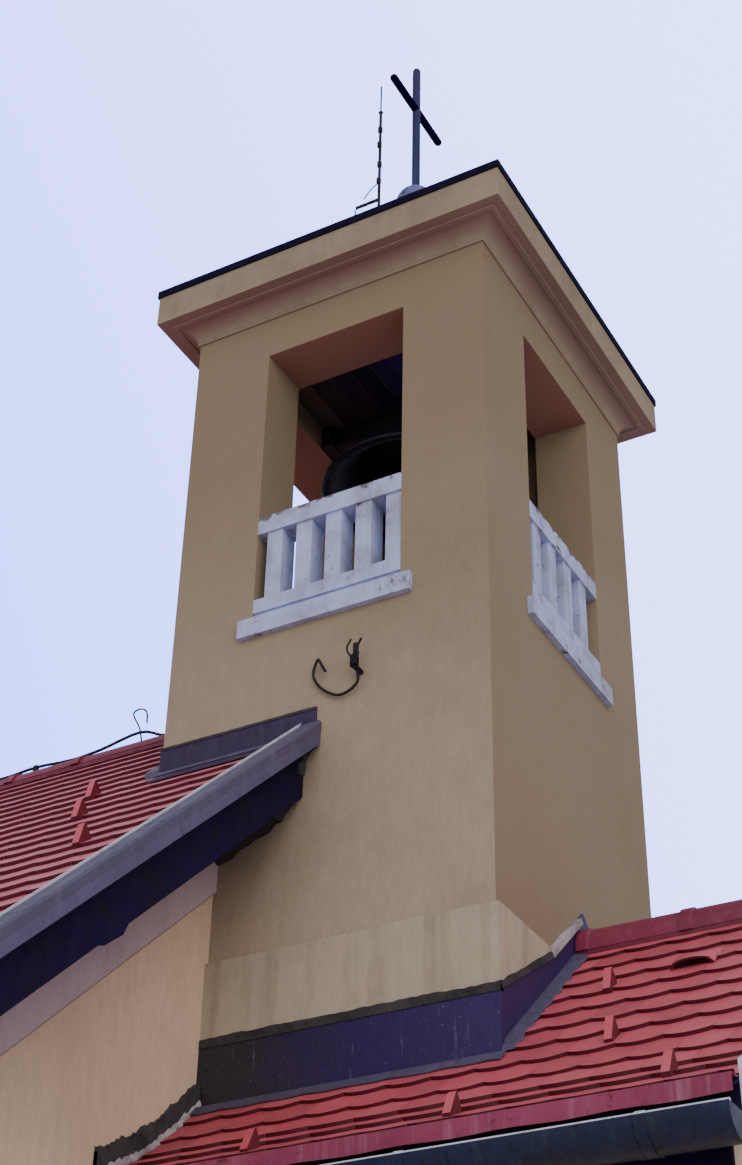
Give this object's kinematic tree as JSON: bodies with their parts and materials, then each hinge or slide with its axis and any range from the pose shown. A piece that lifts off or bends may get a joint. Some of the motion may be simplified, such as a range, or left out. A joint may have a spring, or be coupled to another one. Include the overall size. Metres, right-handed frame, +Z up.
{
  "type": "small chapel",
  "caption": "Small plastered chapel with a gabled nave, a square belfry tower with a swinging bell over the entrance, and a low gabled porch",
  "frame": {"origin": "centre of the footprint at ground level", "axes": "+X along the ridges towards the porch, +Y across the nave towards its back side, +Z up"},
  "size_m": [9.986, 7.092, 10.604],
  "materials": {
    "tower_plaster": "painted lime plaster, matt, stained",
    "nave_plaster": "painted lime plaster, matt",
    "new_render": "smoother cement render, matt",
    "concrete": "cast concrete, rough",
    "painted_concrete": "painted cast concrete, chipped",
    "cornice_plaster": "run plaster moulding, matt",
    "frieze_paint": "painted plaster band, matt",
    "roof_tiles": "plain clay tiles with segmental ends, matt",
    "dark_sheet_metal": "dark painted sheet metal, weathered",
    "verge_sheet_metal": "grey-lilac painted sheet metal",
    "painted_steel": "grey-blue painted steel, weathered",
    "painted_boards": "dark blue painted boards, matt",
    "door_wood": "dark stained planks",
    "bell_bronze": "cast bronze with a dark patina",
    "iron": "dark iron, matt"
  },
  "bodies": {
    "building": {"tower_front_wall": "tower_plaster", "tower_right_wall": "tower_plaster", "tower_back_wall": "tower_plaster", "tower_left_wall": "tower_plaster", "tower_render_patch": "new_render", "belfry_floor": "concrete", "belfry_ceiling": "concrete", "belfry_sills": "painted_concrete", "balustrades": "painted_concrete", "tower_cornice": "cornice_plaster", "tower_roof": "dark_sheet_metal", "cross": "painted_steel", "lightning_rod": "iron", "bell_bearings": "iron", "nave_front_wall": "nave_plaster", "nave_back_wall": "nave_plaster", "entrance_gable_front": "nave_plaster", "entrance_gable_back": "nave_plaster", "far_gable_wall": "nave_plaster", "nave_roof_front": "roof_tiles", "nave_roof_back": "roof_tiles", "porch_roof_front": "roof_tiles", "porch_roof_back": "roof_tiles", "nave_verge_caps": "verge_sheet_metal", "nave_barge_boards": "painted_boards", "nave_verge_soffits": "painted_boards", "nave_friezes": "frieze_paint", "nave_ridge": "roof_tiles", "porch_ridge": "roof_tiles", "gutters": "dark_sheet_metal", "porch_front_wall": "nave_plaster", "porch_back_wall": "nave_plaster", "porch_end_wall_front": "nave_plaster", "porch_end_wall_back": "nave_plaster", "porch_end_wall_over_door": "nave_plaster", "porch_slab": "concrete", "porch_barge_boards": "verge_sheet_metal", "door_frame": "door_wood", "door": "door_wood", "upper_flashing": "dark_sheet_metal", "lower_flashing": "dark_sheet_metal", "wall_hook": "iron"},
    "bell": {"bell": "bell_bronze", "bell_yoke": "iron", "bell_clapper": "iron"}
  },
  "joints": [
    {"name": "bell_swing", "type": "hinge", "parent": "building", "child": "bell", "pos_m": [3.045, 0, 7.815], "axis": [1, 0, 0], "range_deg": [-30, 30]}
  ]
}
